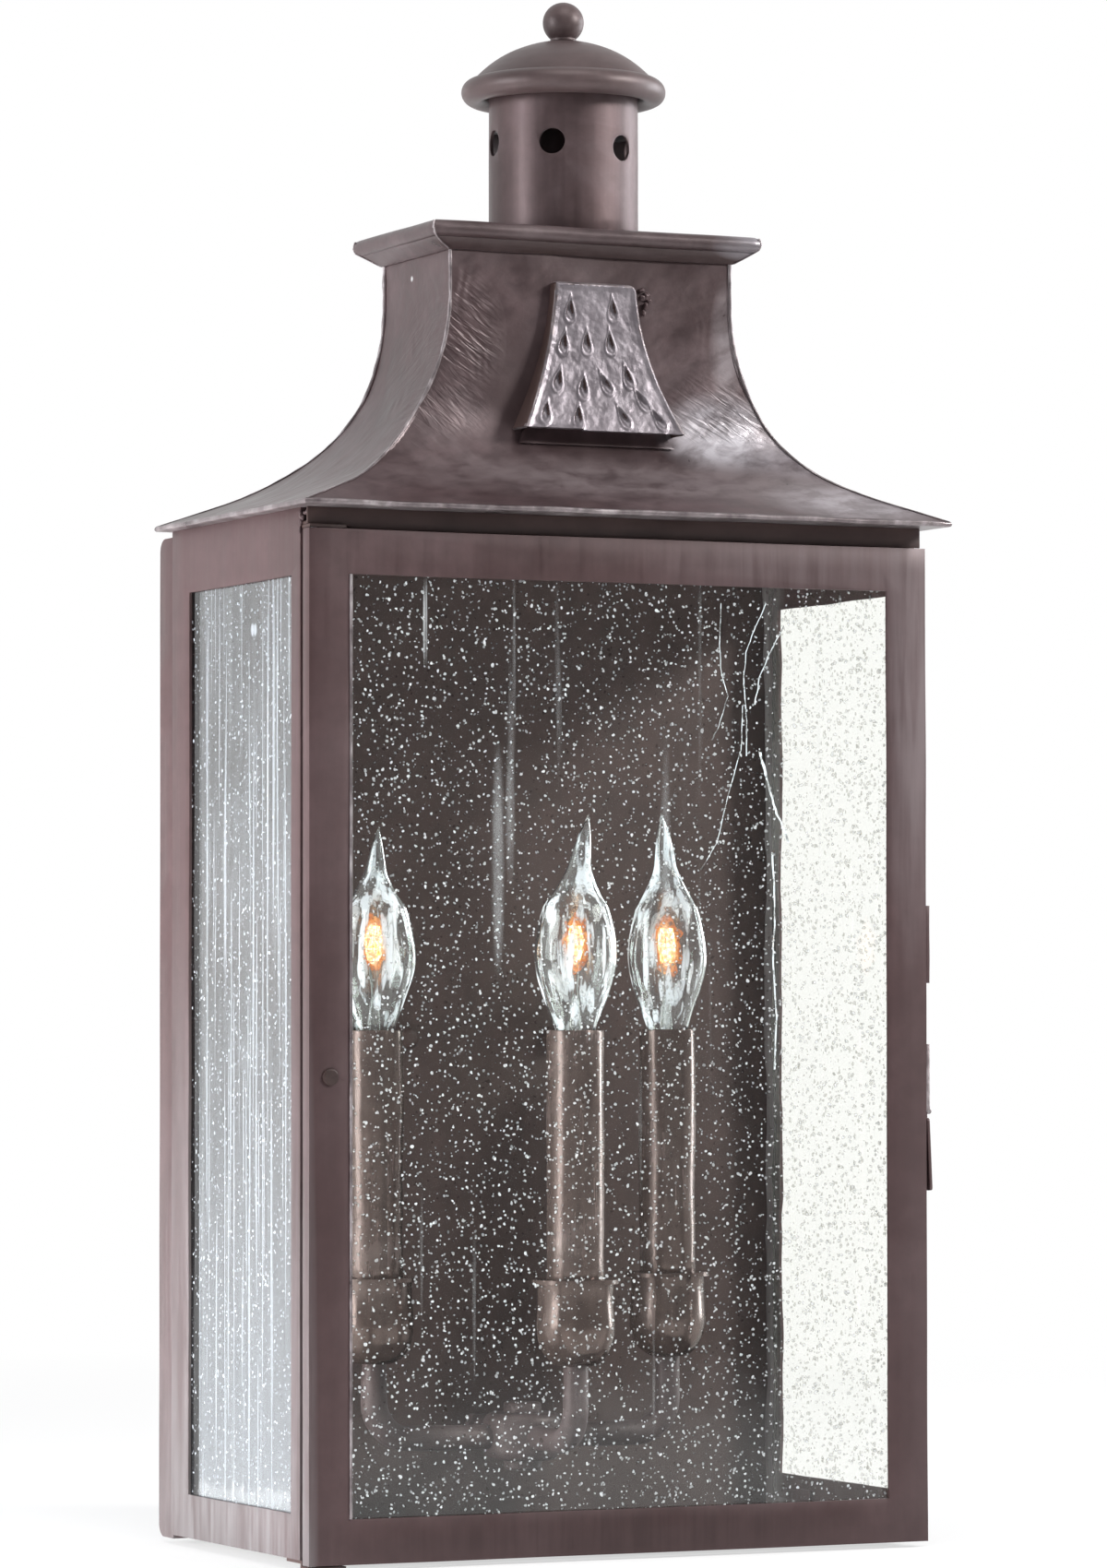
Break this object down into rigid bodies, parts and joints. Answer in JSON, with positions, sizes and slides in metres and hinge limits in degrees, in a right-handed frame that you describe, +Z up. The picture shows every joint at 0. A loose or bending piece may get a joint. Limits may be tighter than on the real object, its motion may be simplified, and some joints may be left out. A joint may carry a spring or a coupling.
{
  "type": "outdoor wall sconce",
  "caption": "Tall box lantern for a wall: flared hood, vented chimney with a ball finial, hinged door and sides of seeded glass, candle lamps on curved arms.",
  "frame": {"origin": "middle of the crossbar's bolt pattern, on the wall plane", "axes": "+Z up, +Y into the wall, +X to the right of someone facing the lantern"},
  "size_m": [0.2662, 0.1606, 0.587],
  "materials": {
    "bronze_sheet": "dark bronze patina over folded brass sheet, satin, rubbed lighter along edges",
    "bronze_turned": "dark bronze patina on turned and bent brass, satin",
    "candle_sleeve": "brown bronze drip sleeve, satin",
    "socket_body": "black phenolic",
    "bulb_shell": "plain drawn brass",
    "bulb_glass": "clear blown glass",
    "filament": "glass press and tungsten wire, lit warm",
    "seeded_glass": "hand-made seeded glass with fine bubbles and ripples",
    "steel_hardware": "zinc-plated steel"
  },
  "bodies": {
    "lantern": {"back_panel": "bronze_sheet", "candle_arm_front": "bronze_turned", "candle_arm_left": "bronze_turned", "candle_arm_right": "bronze_turned", "candle_cup_front": "bronze_turned", "candle_cup_left": "bronze_turned", "candle_cup_right": "bronze_turned", "candle_hub": "bronze_turned", "candle_sleeve_front": "candle_sleeve", "candle_sleeve_left": "candle_sleeve", "candle_sleeve_right": "candle_sleeve", "cap_nuts": "bronze_turned", "cap_spider": "steel_hardware", "chimney_tube": "bronze_sheet", "crossbar_studs": "steel_hardware", "dome_cap": "bronze_sheet", "eave_ring": "bronze_sheet", "feed_tube": "bronze_turned", "finial": "bronze_turned", "floor_sheet": "bronze_sheet", "front_header": "bronze_sheet", "hinge_brackets": "bronze_sheet", "hood_front_sheet": "bronze_sheet", "hood_left_sheet": "bronze_sheet", "hood_rear_sheet": "bronze_sheet", "hood_right_sheet": "bronze_sheet", "hub_nuts": "bronze_turned", "keeper_rivets": "bronze_turned", "lamp_socket_front": "socket_body", "lamp_socket_left": "socket_body", "lamp_socket_right": "socket_body", "latch_keeper": "bronze_sheet", "left_side_frame": "bronze_sheet", "left_side_glass": "seeded_glass", "mounting_crossbar": "steel_hardware", "right_side_frame": "bronze_sheet", "right_side_glass": "seeded_glass", "side_glass_clips": "bronze_sheet", "top_tray": "bronze_sheet", "vent_backing": "bronze_sheet", "vent_cowl": "bronze_sheet", "wall_pan": "bronze_sheet"},
    "door": {"door_frame": "bronze_sheet", "door_glass": "seeded_glass", "door_glass_clips": "bronze_sheet", "door_rivets": "bronze_turned", "hinge_pins": "steel_hardware", "latch_plate": "bronze_sheet", "latch_pin": "steel_hardware"},
    "finger_tab": {"latch_tab": "bronze_sheet"},
    "bulb_left": {"bulb_base_left": "bulb_shell", "bulb_glass_left": "bulb_glass", "bulb_filament_left": "filament"},
    "bulb_front": {"bulb_base_front": "bulb_shell", "bulb_glass_front": "bulb_glass", "bulb_filament_front": "filament"},
    "bulb_right": {"bulb_base_right": "bulb_shell", "bulb_glass_right": "bulb_glass", "bulb_filament_right": "filament"}
  },
  "joints": [
    {"name": "door_hinge", "type": "hinge", "parent": "lantern", "child": "door", "pos_m": [-0.124, -0.147, 0], "axis": [0, 0, -1], "range_deg": [0, 110]},
    {"name": "tab_hinge", "type": "hinge", "parent": "door", "child": "finger_tab", "pos_m": [0.1283, -0.147, -0.0277], "axis": [0, -1, 0], "range_deg": [0, 85]},
    {"name": "bulb_left_lift", "type": "slide", "parent": "lantern", "child": "bulb_left", "axis": [0, 0, 1], "range_m": [0, 0.03]},
    {"name": "bulb_front_lift", "type": "slide", "parent": "lantern", "child": "bulb_front", "axis": [0, 0, 1], "range_m": [0, 0.03]},
    {"name": "bulb_right_lift", "type": "slide", "parent": "lantern", "child": "bulb_right", "axis": [0, 0, 1], "range_m": [0, 0.03]}
  ]
}
